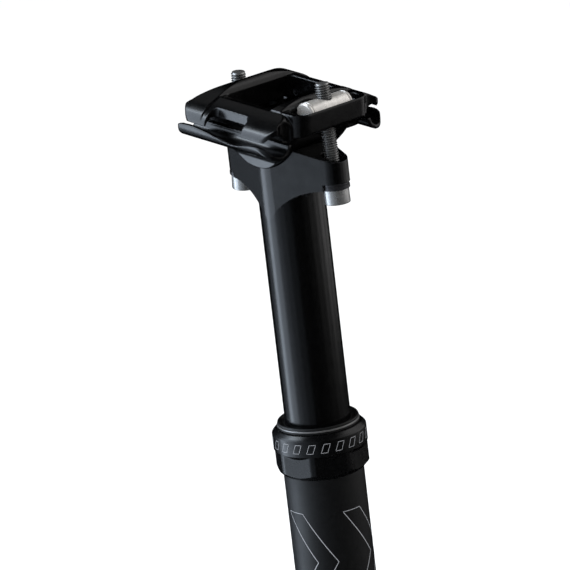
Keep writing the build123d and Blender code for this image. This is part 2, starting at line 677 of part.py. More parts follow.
def make_seat_washer(end, name):
    """Flat against the lug above, spherical below."""
    top = LUG_FACE_Z - LUG_SWIVEL_Z - 0.02
    with BuildPart() as seat_washer:
        with BuildSketch(Plane(origin=swivel(end), x_dir=(1, 0, 0), z_dir=(0, -1, 0))):
            with BuildLine():
                Polyline((WASHER_R, sphere_drop(WASHER_R)), (WASHER_R, top), (WASHER_BORE_R, top),
                         (WASHER_BORE_R, sphere_drop(WASHER_BORE_R)))
                ThreePointArc((WASHER_BORE_R, sphere_drop(WASHER_BORE_R)), (4.0, sphere_drop(4.0)),
                              (WASHER_R, sphere_drop(WASHER_R)))
            make_face()
        revolve(axis=Axis(swivel(end), (0, 0, 1)))
    finish(seat_washer, name)


def make_cup_washer(end, name):
    """Hollow above to match the seat washer, flat below for the bolt head."""
    ball = SWIVEL_R + 0.05
    with BuildPart() as cup_washer:
        with BuildSketch(bolt_side(end)):
            with BuildLine():
                Polyline((WASHER_R, sphere_drop(WASHER_R, ball)), (WASHER_R, -CUP_BOTTOM),
                         (BOLT_R + 0.1, -CUP_BOTTOM), (BOLT_R + 0.1, sphere_drop(BOLT_R + 0.1, ball)))
                ThreePointArc((BOLT_R + 0.1, sphere_drop(BOLT_R + 0.1, ball)),
                              (4.0, sphere_drop(4.0, ball)), (WASHER_R, sphere_drop(WASHER_R, ball)))
            make_face()
        revolve(axis=Axis(swivel(end), bolt_plane(end).z_dir))
    finish(cup_washer, name)


def make_bolt(end, name):
    """M5 socket head screw, head down; plain under the head, threaded from there to the tip."""
    seat = -CUP_BOTTOM - 0.02
    tip = seat + BOLT_LENGTH
    plain = seat + BOLT_PLAIN
    with BuildPart() as bolt:
        with BuildSketch(bolt_side(end)):
            with BuildLine():
                Polyline(
                    (0, seat - BOLT_HEAD_LENGTH), (BOLT_HEAD_R - 0.3, seat - BOLT_HEAD_LENGTH),
                    (BOLT_HEAD_R, seat - BOLT_HEAD_LENGTH + 0.3), (BOLT_HEAD_R, seat), (BOLT_R, seat),
                    (BOLT_R, plain), (BOLT_THREAD_R, plain + 0.1), (BOLT_THREAD_R, tip - 0.6),
                    (BOLT_THREAD_R - 0.6, tip), (0, tip), (0, seat - BOLT_HEAD_LENGTH),
                )
            make_face()
        revolve(axis=Axis(swivel(end), bolt_plane(end).z_dir))
        with BuildSketch(bolt_plane(end).offset(seat - BOLT_HEAD_LENGTH)):
            RegularPolygon(SOCKET_FLAT, 6, major_radius=False)
        extrude(amount=SOCKET_DEPTH, mode=Mode.SUBTRACT)
    finish(bolt, name)


make_outer_tube()
make_lock_collar()
make_wiper_seal()
make_seal_ring()
make_upper_bushing()
make_spring_seat()
make_bottom_out_bumper()
make_preload_plug()
make_plug_o_ring()
make_stanchion()
make_key_pins()
make_lower_bushing()
make_top_out_ring()
make_end_plug()
make_guide_rod()
make_main_spring()
make_lower_cradle()
make_upper_clamp()
for which, sign in (("front", 1), ("rear", -1)):
    make_barrel_nut(sign, f"{which}_barrel_nut")
    make_seat_washer(sign, f"{which}_seat_washer")
    make_cup_washer(sign, f"{which}_cup_washer")
    make_bolt(sign, f"{which}_bolt")
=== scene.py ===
"""Looks of the telescopic suspension seatpost: turned, forged and threaded pieces around the CAD frame.

Metres, in the CAD frame: +Z up the post, +X to the front of the bicycle. Helpers that take
profiles and outlines work in millimetres, and MM turns them into metres.
"""

import json
from math import ceil, cos, hypot, pi, radians, sin, sqrt, tan

import bmesh
import bpy
from mathutils import Matrix, Vector


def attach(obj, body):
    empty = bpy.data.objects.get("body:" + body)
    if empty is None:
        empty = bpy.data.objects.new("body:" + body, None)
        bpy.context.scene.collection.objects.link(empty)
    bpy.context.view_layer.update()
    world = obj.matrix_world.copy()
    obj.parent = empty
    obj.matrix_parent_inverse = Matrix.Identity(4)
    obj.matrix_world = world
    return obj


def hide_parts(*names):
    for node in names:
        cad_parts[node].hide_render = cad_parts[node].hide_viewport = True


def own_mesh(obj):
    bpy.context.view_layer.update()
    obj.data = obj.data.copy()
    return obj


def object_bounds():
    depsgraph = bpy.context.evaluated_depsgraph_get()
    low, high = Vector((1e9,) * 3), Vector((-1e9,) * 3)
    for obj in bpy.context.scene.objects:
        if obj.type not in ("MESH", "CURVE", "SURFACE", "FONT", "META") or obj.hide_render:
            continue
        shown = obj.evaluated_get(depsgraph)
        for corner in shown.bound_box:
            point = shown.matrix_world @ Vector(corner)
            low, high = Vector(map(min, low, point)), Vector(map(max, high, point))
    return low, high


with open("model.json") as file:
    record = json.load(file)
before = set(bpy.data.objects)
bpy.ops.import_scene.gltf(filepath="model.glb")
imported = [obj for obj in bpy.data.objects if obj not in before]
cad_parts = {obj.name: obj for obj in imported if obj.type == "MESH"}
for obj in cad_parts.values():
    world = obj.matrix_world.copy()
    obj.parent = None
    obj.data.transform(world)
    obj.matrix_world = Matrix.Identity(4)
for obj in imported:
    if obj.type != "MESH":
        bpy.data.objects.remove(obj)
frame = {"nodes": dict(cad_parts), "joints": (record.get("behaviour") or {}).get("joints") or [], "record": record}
cad_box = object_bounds()

MM = 0.001
NODES = frame["nodes"]
JOINTS = {joint["name"]: joint for joint in frame["joints"]}
SLOTS = {part["node"]: part["material_slot"] for part in frame["record"]["subparts"]}

# ---------------------------------------------------------------- sizes the looks need, in mm
TUBE_R = 13.6
TUBE_BORE_R = 12.1
TUBE_NECK = (228.2, 13.0)        # height where the collar's thread starts, and its radius
TUBE_TOP = 238.4
# from, to and radius of the narrower bore that stops the stanchion's guide bushing
TUBE_SHOULDER = (170.0, 213.8, 11.5)
STANCHION_R = 11.1
COLLAR_BOTTOM, COLLAR_TOP = 228.3, 244.0
COLLAR_R = 15.9
COLLAR_FLAT = 14.95
COLLAR_FLATS = 8
COLLAR_TURN = radians(-9.0)
COLLAR_BAND = 236.4
SEAL_R = 13.7
SEAL_TOP = 246.2
SWIVEL_R = 9.0
WASHER_R = 4.75
CUP_BOTTOM = 8.94
SEAT_TOP = -6.76
BOLT_R = 2.5
BOLT_ROOT_R = 2.02
BOLT_PITCH = 0.8
BOLT_PLAIN = 9.0
BOLT_LENGTH = 35.3
BOLT_STEPS = 48
HEAD_R = 4.25
HEAD_LENGTH = 5.0
SOCKET_FLAT = 2.0
SOCKET_DEPTH = 2.8
NUT_R = 4.0
NUT_HALF = 9.3
NUT_HOLE_R = 2.7
CHEVRON_LOW = 182.0
MARK_COUNT, MARK_LOW = 20, 238.3
FORGE_VOXEL = 0.22
FORGE_SMOOTHING = 5
SPRING_LOW, SPRING_HIGH = 20.0, 137.0
SPRING_R = 9.0
WIRE_R = 1.7
SPRING_TURNS = 14.5
SPRING_CLOSED_TURNS = 0.85       # flat turns at each end


def add_object(name, data):
    """A new object in the scene that holds a mesh, curve, light or camera."""
    obj = bpy.data.objects.new(name, data)
    bpy.context.scene.collection.objects.link(obj)
    return obj


# ---------------------------------------------------------------- camera and studio
LOOK_AT = Vector((0, 0, 292.6)) * MM
CAMERA_AZIMUTH = radians(41.006)
CAMERA_ELEVATION = radians(15.946)
CAMERA_ROLL = radians(6.761)
CAMERA_DISTANCE = 1414.382 * MM
CAMERA_SIDEWAYS = -5.688 * MM
CAMERA_UP = -0.355 * MM
SENSOR = 36.0
LENS = 269.38
CLIP_RANGE = (0.05, 100)


def add_camera():
    """A long-lens camera, slightly rolled."""
    back = view_direction(0, CAMERA_ELEVATION)
    level_right = Vector((sin(CAMERA_AZIMUTH), cos(CAMERA_AZIMUTH), 0))
    level_up = back.cross(level_right)
    c, s = cos(CAMERA_ROLL), sin(CAMERA_ROLL)
    right = c * level_right - s * level_up
    up = s * level_right + c * level_up
    data = bpy.data.cameras.new("camera")
    data.sensor_width = SENSOR
    data.lens = LENS
    data.clip_start, data.clip_end = CLIP_RANGE
    camera = add_object("camera", data)
    eye = LOOK_AT + back * CAMERA_DISTANCE + right * CAMERA_SIDEWAYS + up * CAMERA_UP
    axes = Matrix((right, up, back)).transposed().to_4x4()
    camera.matrix_world = Matrix.Translation(eye) @ axes
    bpy.context.scene.camera = camera


def view_direction(turn, elevation=0.0):
    """Unit vector from the object, turned anticlockwise from the camera's side as seen from above."""
    angle = -CAMERA_AZIMUTH + turn
    return Vector((cos(angle) * cos(elevation), sin(angle) * cos(elevation), sin(elevation)))


def add_softbox(name, turn, distance, height, size, radiance, color):
    """Area light facing the post; turn is measured from the camera's side, in degrees."""
    data = bpy.data.lights.new(name, "AREA")
    data.shape = "RECTANGLE"
    data.size, data.size_y = size
    data.energy = radiance * size[0] * size[1] * pi
    data.color = color
    box = add_object(name, data)
    place = view_direction(radians(turn)) * distance
    place.z = height
    aim = Vector((0, 0, min(height, LOOK_AT.z))) - place
    box.location = place
    box.rotation_euler = aim.to_track_quat("-Z", "Y").to_euler()
    box.visible_camera = False


# upright strips of light round the post: turn from the camera's side and width in degrees, radiance
SOFTBOXES = ((-124, 22, 0.25), (-101, 20, 4.0), (-79, 22, 2.2), (-58, 18, 0.62), (-39, 18, 0.34),
             (-18, 20, 0.14), (42, 20, 0.05), (63, 22, 0.25), (85, 22, 0.6), (107, 22, 0.85),
             (129, 22, 0.5))
SOFTBOX_TOP = 1.14
SOFTBOX_FOOT = (-0.56, -0.03)    # left and right of the camera
SOFTBOX_DISTANCE = 0.80
COOL_LIGHT, NEUTRAL_LIGHT = (0.77, 0.88, 1.02), (1.0, 0.99, 0.99)
# single boxes above the post: turn, distance, height, side, radiance, colour
UPPER_BOXES = {
    "top_softbox": (-95, 0.62, 1.05, 0.35, 6.0, (0.82, 0.91, 1.0)),
    "back_softbox": (-160, 0.55, 1.0, 0.3, 0.15, (0.95, 0.97, 1.0)),
}
FLOOR_HALF = 30.0
FLOOR_GAP = 0.5


def add_studio():
    scene = bpy.context.scene
    scene.view_settings.view_transform = "Standard"
    world = bpy.data.worlds.new("studio")
    world.use_nodes = True
    world.node_tree.nodes["Background"].inputs["Color"].default_value = (1, 1, 1, 1)
    world.node_tree.nodes["Background"].inputs["Strength"].default_value = 1.0
    world.cycles_visibility.glossy = False
    scene.world = world
    for number, (turn, width, strength) in enumerate(SOFTBOXES):
        foot = SOFTBOX_FOOT[turn > 0]
        size = (2 * SOFTBOX_DISTANCE * tan(radians(width / 2)), SOFTBOX_TOP - foot)
        color = COOL_LIGHT if turn < 0 else NEUTRAL_LIGHT
        add_softbox(f"softbox_{number}", turn, SOFTBOX_DISTANCE, (SOFTBOX_TOP + foot) / 2, size,
                    strength, color)
    for name, (turn, distance, height, side, strength, color) in UPPER_BOXES.items():
        add_softbox(name, turn, distance, height, (side, side), strength, color)
    add_floor()


def add_floor():
    """A pale ground that neither mirrors in the metal nor shades the lights below it."""
    mesh = bpy.data.meshes.new("floor")
    half = FLOOR_HALF
    low = cad_box[0].z - FLOOR_GAP * MM
    mesh.from_pydata([(-half, -half, low), (half, -half, low), (half, half, low), (-half, half, low)],
                     [], [(0, 1, 2, 3)])
    floor = add_object("floor", mesh)
    mesh.materials.append(floor_material())
    floor.visible_glossy = False
    floor.visible_shadow = False


# ---------------------------------------------------------------- materials
def node_maker(name):
    material = bpy.data.materials.new(name)
    material.use_nodes = True
    tree = material.node_tree
    return material, tree, tree.nodes["Principled BSDF"]


def add_node(tree, kind, **values):
    """A node with its inputs set by name, or its settings where no input has that name."""
    node = tree.nodes.new(kind)
    for key, value in values.items():
        label = key.replace("_", " ")
        if label in node.inputs:
            node.inputs[label].default_value = value
        else:
            setattr(node, key, value)
    return node


def noise(tree, size_mm, detail=3.0, stretch=(1, 1, 1)):
    """Noise whose features are about size_mm across, in the piece's own coordinates."""
    coords = add_node(tree, "ShaderNodeTexCoord")
    mapping = add_node(tree, "ShaderNodeMapping")
    mapping.inputs["Scale"].default_value = stretch
    texture = add_node(tree, "ShaderNodeTexNoise", Scale=1 / (size_mm * MM), Detail=detail)
    tree.links.new(coords.outputs["Object"], mapping.inputs["Vector"])
    tree.links.new(mapping.outputs["Vector"], texture.inputs["Vector"])
    return texture.outputs["Fac"]


def remap(tree, value, low, high, start=0.3, end=0.7):
    """The value's stretch from start to end, spread from low to high."""
    node = add_node(tree, "ShaderNodeMapRange", From_Min=start, From_Max=end, To_Min=low,
                    To_Max=high)
    tree.links.new(value, node.inputs["Value"])
    return node.outputs["Result"]


# sockets of a colour mix node, by place: several of them share a name
MIX_FACTOR, MIX_FIRST, MIX_SECOND, MIX_RESULT = 0, 6, 7, 2


def blend_colors(tree, factor, first, second):
    """A mix of two colours, each a tuple or a node's output."""
    node = add_node(tree, "ShaderNodeMix", data_type="RGBA")
    tree.links.new(factor, node.inputs[MIX_FACTOR])
    for place, color in ((MIX_FIRST, first), (MIX_SECOND, second)):
        if isinstance(color, tuple):
            node.inputs[place].default_value = (*color, 1)
        else:
            tree.links.new(color, node.inputs[place])
    return node.outputs[MIX_RESULT]


def add_relief(tree, height, depth_mm, normal):
    """Bumps of the given depth, laid over a normal."""
    bump = add_node(tree, "ShaderNodeBump", Strength=1.0, Distance=depth_mm * MM)
    tree.links.new(height, bump.inputs["Height"])
    tree.links.new(normal, bump.inputs["Normal"])
    return bump.outputs["Normal"]


WAVE_SCALE = 0.314               # scale at which a wave node repeats once in a metre
# dot product of the true and the softened normal: full edge colour, worn metal and painted highlight, at the
# first, none at the second
EDGE_WEAR_AND_HIGHLIGHT = (0.86, 0.995)
EDGE_WEAR_AND_HIGHLIGHT_PATCH = 0.9                 # size in mm of the patches that the edge colour, worn metal and painted highlight, comes in


def surface(name, colors, roughness, metallic=0.0, grain=(0.2, 0.004), mottle=2.0,
            stretch=(1, 1, 1), edge=0.25, wear_and_edge_highlight=None, specular=0.5, painted_hollow_shade=None, rings=None):
    """A finished surface. colors: two tones mixed by a mottle of the given size in mm; roughness:
    its lowest and highest; grain: size and depth of the relief in mm; edge: radius in mm that
    sharp edges are softened to; wear: colour that shows on edges, partly worn metal and partly
    a painted edge highlight; crevice: reach in mm and colour of a painted shade in hollows;
    rings: pitch and depth of turning marks along Z in mm."""
    material, tree, shader = node_maker(name)
    links = tree.links
    patches = noise(tree, mottle, 4.0, stretch)
    color = blend_colors(tree, remap(tree, patches, 0, 1), *colors)
    worn_in = noise(tree, mottle * 3.1, 2.0, stretch)
    links.new(remap(tree, worn_in, *roughness), shader.inputs["Roughness"])
    shader.inputs["Metallic"].default_value = metallic
    shader.inputs["Specular IOR Level"].default_value = specular
    softened = add_node(tree, "ShaderNodeBevel", samples=6, Radius=edge * MM).outputs["Normal"]
    normal = add_relief(tree, noise(tree, grain[0], 2.0, stretch), grain[1], softened)
    if rings:
        coords = add_node(tree, "ShaderNodeTexCoord")
        wave = add_node(tree, "ShaderNodeTexWave", bands_direction="Z", wave_type="BANDS",
                        Scale=WAVE_SCALE / (rings[0] * MM), Distortion=0.6)
        links.new(coords.outputs["Object"], wave.inputs["Vector"])
        normal = add_relief(tree, wave.outputs["Fac"], rings[1], normal)
    links.new(normal, shader.inputs["Normal"])
    # partly worn metal and partly a painted edge highlight: edges, where the softened normal leaves the true one,
    # take a lighter colour in patches
    if wear_and_edge_highlight:
        geometry = add_node(tree, "ShaderNodeNewGeometry")
        agree = add_node(tree, "ShaderNodeVectorMath", operation="DOT_PRODUCT")
        links.new(softened, agree.inputs[0])
        links.new(geometry.outputs["Normal"], agree.inputs[1])
        patchy = add_node(tree, "ShaderNodeMath", operation="MULTIPLY")
        links.new(remap(tree, agree.outputs["Value"], 1, 0, *EDGE_WEAR_AND_HIGHLIGHT), patchy.inputs[0])
        links.new(remap(tree, noise(tree, EDGE_WEAR_AND_HIGHLIGHT_PATCH), 0, 1, 0.42, 0.62), patchy.inputs[1])
        color = blend_colors(tree, patchy.outputs[0], color, wear_and_edge_highlight)
    # painted shade: ambient occlusion darkens the colour towards the given dark colour in hollows and thread roots
    if painted_hollow_shade:
        hollow = add_node(tree, "ShaderNodeAmbientOcclusion", samples=8, only_local=True,
                          Distance=painted_hollow_shade[0] * MM)
        openness = remap(tree, hollow.outputs["AO"], 0, 1, 0.45, 0.95)
        color = blend_colors(tree, openness, painted_hollow_shade[1], color)
    links.new(color, shader.inputs["Base Color"])
    return material


def floor_material():
    material, tree, shader = node_maker("pale_floor")
    color = blend_colors(tree, remap(tree, noise(tree, 900.0), 0, 1), (0.97, 0.97, 0.97),
                         (1.0, 1.0, 1.0))
    tree.links.new(color, shader.inputs["Base Color"])
    shader.inputs["Roughness"].default_value = 0.9
    shader.inputs["Specular IOR Level"].default_value = 0.0
    return material


def make_materials():
    # the lighter edge colours below are partly worn metal and partly a painted edge highlight
    return {
        "matte_black_alloy": surface(
            "matte_black_alloy", ((0.0028, 0.0028, 0.0031), (0.0042, 0.0042, 0.0046)), (0.43, 0.49),
            grain=(0.12, 0.0025), mottle=1.6, edge=0.2, wear_and_edge_highlight=(0.04, 0.04, 0.042), specular=0.36),
        "gloss_black_alloy": surface(
            "gloss_black_alloy", ((0.0006, 0.0006, 0.0007), (0.0016, 0.0016, 0.0018)), (0.19, 0.25),
            grain=(0.25, 0.0012), mottle=1.2, edge=0.35, wear_and_edge_highlight=(0.04, 0.04, 0.044)),
        "black_collar_alloy": surface(
            "black_collar_alloy", ((0.001, 0.001, 0.0012), (0.002, 0.002, 0.0022)), (0.24, 0.31),
            grain=(0.18, 0.0015), mottle=1.2, edge=0.2, wear_and_edge_highlight=(0.04, 0.04, 0.042),
            rings=(0.12, 0.0008)),
        "seal_rubber": surface(
            "seal_rubber", ((0.004, 0.004, 0.004), (0.009, 0.009, 0.009)), (0.42, 0.55),
            grain=(0.15, 0.004), mottle=0.8, edge=0.15, wear_and_edge_highlight=(0.02, 0.02, 0.02), specular=0.4),
        "polished_steel": surface(
            "polished_steel", ((0.70, 0.68, 0.65), (0.84, 0.81, 0.77)), (0.24, 0.32), 0.68,
            grain=(0.1, 0.0008), mottle=1.5, edge=0.12, wear_and_edge_highlight=(0.95, 0.94, 0.92)),
        "ring_steel": surface(
            "ring_steel", ((0.16, 0.16, 0.16), (0.24, 0.24, 0.24)), (0.3, 0.4), 0.7,
            grain=(0.1, 0.001), mottle=1.0, edge=0.05, wear_and_edge_highlight=(0.3, 0.3, 0.3)),
        # the screw threads' roots and other hollows get a painted shade, near black
        "zinc_steel": surface(
            "zinc_steel", ((0.36, 0.36, 0.36), (0.46, 0.46, 0.455)), (0.24, 0.32), 0.86,
            grain=(0.3, 0.0006), mottle=0.9, edge=0.03, painted_hollow_shade=(0.7, (0.02, 0.02, 0.02)),
            wear_and_edge_highlight=(0.92, 0.92, 0.92)),
        "black_steel": surface(
            "black_steel", ((0.03, 0.03, 0.033), (0.06, 0.06, 0.065)), (0.28, 0.38), 0.8,
            grain=(0.15, 0.002), mottle=0.7, edge=0.15, wear_and_edge_highlight=(0.3, 0.3, 0.3)),
        "spring_steel": surface(
            "spring_steel", ((0.25, 0.26, 0.28), (0.36, 0.37, 0.39)), (0.28, 0.4), 1.0,
            grain=(0.2, 0.003), mottle=2.5, edge=0.1, wear_and_edge_highlight=(0.5, 0.5, 0.5)),
        "bushing_polymer": surface(
            "bushing_polymer", ((0.30, 0.25, 0.16), (0.38, 0.32, 0.21)), (0.45, 0.6),
            grain=(0.2, 0.004), mottle=0.6, edge=0.2, wear_and_edge_highlight=(0.5, 0.45, 0.35)),
        "rod_plastic": surface(
            "rod_plastic", ((0.66, 0.66, 0.63), (0.74, 0.74, 0.72)), (0.35, 0.5),
            grain=(0.3, 0.004), mottle=2.0, edge=0.2, wear_and_edge_highlight=(0.85, 0.85, 0.84)),
        "bumper_elastomer": surface(
            "bumper_elastomer", ((0.42, 0.10, 0.04), (0.52, 0.15, 0.06)), (0.4, 0.55),
            grain=(0.25, 0.006), mottle=1.0, edge=0.3, wear_and_edge_highlight=(0.6, 0.25, 0.15)),
        "brass": surface(
            "brass", ((0.68, 0.50, 0.22), (0.78, 0.60, 0.30)), (0.2, 0.32), 1.0,
            grain=(0.12, 0.001), mottle=0.6, edge=0.1, wear_and_edge_highlight=(0.9, 0.75, 0.45)),
        "dark_alloy": surface(
            "dark_alloy", ((0.05, 0.05, 0.055), (0.09, 0.09, 0.1)), (0.3, 0.42), 0.6,
            grain=(0.15, 0.002), mottle=1.0, edge=0.2, wear_and_edge_highlight=(0.4, 0.4, 0.4)),
        "line_paint": surface(
            "line_paint", ((0.22, 0.225, 0.24), (0.30, 0.305, 0.32)), (0.4, 0.5),
            grain=(0.1, 0.002), mottle=0.4, edge=0.05),
    }


# ---------------------------------------------------------------- mesh helpers
def to_frame(origin=(0, 0, 0), axis=(0, 0, 1), across=(1, 0, 0)):
    """Matrix from a piece's own millimetres, axis along its z, to the frame's metres."""
    z = Vector(axis).normalized()
    x = Vector(across)
    x = (x - z * x.dot(z)).normalized()
    turn = Matrix((x, z.cross(x), z)).transposed().to_4x4()
    return Matrix.Translation(Vector(origin)) @ turn @ Matrix.Scale(MM, 4)


def finish_mesh(bm, name):
    """The finished mesh, with its faces pointing outwards."""
    bmesh.ops.recalc_face_normals(bm, faces=bm.faces)
    mesh = bpy.data.meshes.new(name)
    bm.to_mesh(mesh)
    bm.free()
    return mesh


def evaluated_mesh(obj):
    """A mesh of the object with its modifiers or its curve's bevel applied."""
    bpy.context.view_layer.update()
    return bpy.data.meshes.new_from_object(
        obj.evaluated_get(bpy.context.evaluated_depsgraph_get()))


def add_ring(bm, matrix, radius, height, steps):
    """Vertices round z, or one on the axis; the radius may be a function of the angle."""
    if not callable(radius) and radius < 1e-9:
        return [bm.verts.new(matrix @ Vector((0, 0, height)))]
    ring = []
    for k in range(steps):
        angle = 2 * pi * k / steps
        r = radius(angle) if callable(radius) else radius
        ring.append(bm.verts.new(matrix @ Vector((r * cos(angle), r * sin(angle), height))))
    return ring


def bridge(bm, low, high):
    """Faces between two rings, one of which may be a single vertex."""
    steps = max(len(low), len(high))
    for k in range(steps):
        n = (k + 1) % steps
        if len(low) == 1:
            bm.faces.new((low[0], high[n], high[k]))
        elif len(high) == 1:
            bm.faces.new((low[k], low[n], high[0]))
        else:
            bm.faces.new((low[k], low[n], high[n], high[k]))


def add_piece(name, mesh, body, slot, nodes=(), smooth_angle=35.0):
    """A new piece that rides on a body, takes a slot's finish and stands for CAD nodes."""
    obj = add_object(name, mesh)
    mesh.shade_smooth()
    mesh.set_sharp_from_angle(angle=radians(smooth_angle))
    mesh.materials.clear()
    mesh.materials.append(MATERIALS[slot])
    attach(obj, body)
    if nodes:
        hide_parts(*nodes)
    return obj


def rounded(outline, radius, closed=True, steps=4):
    """The outline (r, h[, own radius]) with its corners rounded, where there is room."""
    result = []
    count = len(outline)
    for i, point in enumerate(outline):
        here = Vector(point[:2])
        own = point[2] if len(point) > 2 else radius
        first_or_last = i in (0, count - 1)
        if own == 0 or (first_or_last and not closed):
            result.append(tuple(here))
            continue
        before = Vector(outline[i - 1][:2]) - here
        after = Vector(outline[(i + 1) % count][:2]) - here
        if before.length < 1e-6 or after.length < 1e-6:
            result.append(tuple(here))
            continue
        angle = before.angle(after)
        if angle > pi - 0.05:
            result.append(tuple(here))
            continue
        reach = min(own / max(sin(angle / 2), 0.05) * cos(angle / 2), 0.45 * before.length,
                    0.45 * after.length)
        start = here + before.normalized() * reach
        end = here + after.normalized() * reach
        for k in range(steps + 1):
            t = k / steps
            result.append(tuple((1 - t) ** 2 * start + 2 * t * (1 - t) * here + t * t * end))
    return result


def loft_rings(name, rings, matrix, steps=144, closed=True):
    """Mesh through rings (radius or function of the angle, height), each with the same steps."""
    bm = bmesh.new()
    loops = [add_ring(bm, matrix, radius, height, steps) for radius, height in rings]
    for low, high in zip(loops, loops[1:]):
        bridge(bm, low, high)
    if closed:
        bridge(bm, loops[-1], loops[0])
    return finish_mesh(bm, name)


def turn_piece(name, outline, matrix, body, slot, nodes=(), radius=0.15, steps=144, closed=True):
    """A lathe-turned piece from its half section, corners rounded."""
    mesh = loft_rings(name, rounded(outline, radius, closed), matrix, steps, closed)
    return add_piece(name, mesh, body, slot, nodes)


def forge_piece(name, node, body):
    """A forging: the CAD node's solid remeshed, with its edges softened."""
    mesh = NODES[node].data.copy()
    bm = bmesh.new()
    bm.from_mesh(mesh)
    bmesh.ops.remove_doubles(bm, verts=bm.verts, dist=1e-7)
    bm.to_mesh(mesh)
    bm.free()
    raw = add_object(name + "_raw", mesh)
    remesh = raw.modifiers.new("remesh", "REMESH")
    remesh.mode = "VOXEL"
    remesh.voxel_size = FORGE_VOXEL * MM
    soften = raw.modifiers.new("soften", "SMOOTH")
    soften.factor = 0.5
    soften.iterations = FORGE_SMOOTHING
    forged = evaluated_mesh(raw)
    forged.name = name
    bpy.data.objects.remove(raw)
    return add_piece(name, forged, body, SLOTS[node], (node,), 180.0)


def bead_line(name, loops, depth, body, slot, sink=0.6):
    """Thin raised lines through points in mm, sunk by a share of their own radius."""
    curve = bpy.data.curves.new(name, "CURVE")
    curve.dimensions = "3D"
    curve.bevel_depth = depth * MM
    curve.bevel_resolution = 2
    for points, cyclic in loops:
        spline = curve.splines.new("POLY")
        spline.points.add(len(points) - 1)
        for target, (radius, angle, height) in zip(spline.points, points):
            r = (radius - depth * sink) * MM
            target.co = (r * cos(angle), r * sin(angle), height * MM, 1)
        spline.use_cyclic_u = cyclic
    holder = add_object(name + "_curve", curve)
    mesh = evaluated_mesh(holder)
    mesh.name = name
    bpy.data.objects.remove(holder)
    return add_piece(name, mesh, body, slot)


def wrap_outline(corners, radius, step=0.8):
    """Outline corners (mm round the tube, height) as points on the tube, close enough to wrap."""
    points = []
    for (s0, z0), (s1, z1) in zip(corners, corners[1:] + corners[:1]):
        count = max(1, ceil(hypot(s1 - s0, z1 - z0) / step))
        for k in range(count):
            t = k / count
            points.append((radius, (s0 + (s1 - s0) * t) / radius, z0 + (z1 - z0) * t))
    return points


# ---------------------------------------------------------------- outer tube, collar and seal
def add_outer_tube():
    neck_height, neck_r = TUBE_NECK
    shoulder_low, shoulder_high, shoulder_r = TUBE_SHOULDER
    outline = [
        (TUBE_BORE_R + 0.5, 0), (TUBE_R - 0.1, 0), (TUBE_R, 0.3), (TUBE_R, neck_height),
        (neck_r, neck_height), (neck_r, TUBE_TOP), (TUBE_BORE_R, TUBE_TOP), (TUBE_BORE_R, shoulder_high),
        (shoulder_r, shoulder_high), (shoulder_r, shoulder_low), (TUBE_BORE_R, shoulder_low),
        (TUBE_BORE_R, 0.8),
    ]
    turn_piece("outer_tube_shell", outline, to_frame(), "outer", "matte_black_alloy",
               ("outer_tube",), 0.2, 192)


def add_tube_graphics():
    """Outlined chevrons round the tube."""
    chevron = [(-9, 0), (2, 17), (-9, 34), (-2, 34), (9, 17), (-2, 0)]
    around = 2 * pi * TUBE_R
    loops = []
    for turn in range(4):
        shift = around * turn / 4 + 4.0
        corners = [(s + shift, z + CHEVRON_LOW) for s, z in chevron]
        loops.append((wrap_outline(corners, TUBE_R), True))
    bead_line("tube_chevrons", loops, 0.30, "outer", "line_paint", 0.85)


def soft_min(a, b, blend):
    """Smaller of two values, rounded off where they are within blend of each other."""
    h = max(blend - abs(a - b), 0) / blend
    return min(a, b) - h * h * blend / 4


def soft_max(a, b, blend):
    return -soft_min(-a, -b, blend)


def flat_radius(angle):
    """Distance from the axis to the wrench flats in that direction."""
    pitch = 2 * pi / COLLAR_FLATS
    return COLLAR_FLAT / cos((angle - COLLAR_TURN) % pitch - pitch / 2)


def collar_outside(height):
    """Outer radius of the collar at a height, as a function of the angle."""
    chamfer = 13.95 + (height - COLLAR_BOTTOM) * 0.98
    step_up = COLLAR_FLAT - 0.6 + (height - (COLLAR_BAND - 1.4)) * (COLLAR_R - COLLAR_FLAT + 0.6) / 2

    def radius(angle):
        flat = soft_min(flat_radius(angle), COLLAR_R - 0.05, 0.12)
        side = soft_min(flat, chamfer, 0.12)
        return soft_max(side, min(step_up, COLLAR_R), 0.1) if height > COLLAR_BAND - 1.4 else side

    return radius


def add_lock_collar():
    bottom, top = COLLAR_BOTTOM, COLLAR_TOP
    levels = [bottom + 0.12 * k for k in range(18)]
    levels += [bottom + 2.5 + 0.7 * k for k in range(7)]
    levels += [COLLAR_BAND - 1.3 + 0.12 * k for k in range(17)]
    rings = [(TUBE_NECK[1] + 0.05, bottom + 0.1), (TUBE_NECK[1] + 0.15, bottom)]
    rings += [(collar_outside(z), z) for z in levels]
    upper = [
        (COLLAR_R, levels[-1] + 0.15, 0), (COLLAR_R, top - 1.6), (COLLAR_R - 0.4, top - 1.05),
        (14.5, top), (13.35, top), (13.35, 240.4), (11.7, 240.4), (11.7, 239.4), (13.05, 239.3),
        (13.05, 238.0),
    ]
    rings += rounded(upper, 0.2, closed=False)
    mesh = loft_rings("lock_collar_turned", rings, to_frame(), COLLAR_FLATS * 48)
    add_piece("lock_collar_turned", mesh, "outer", "black_collar_alloy", ("lock_collar",), 30.0)
    # a row of outlined slanted marks on the plain band
    pitch = 2 * pi * COLLAR_R / MARK_COUNT
    mark = [(-1.7, 0), (0.5, 0), (1.7, 3.0), (-0.5, 3.0)]
    loops = [(wrap_outline([(s + pitch * k, z + MARK_LOW) for s, z in mark], COLLAR_R, 0.5), True)
             for k in range(MARK_COUNT)]
    bead_line("collar_marks", loops, 0.16, "outer", "line_paint", 0.8)


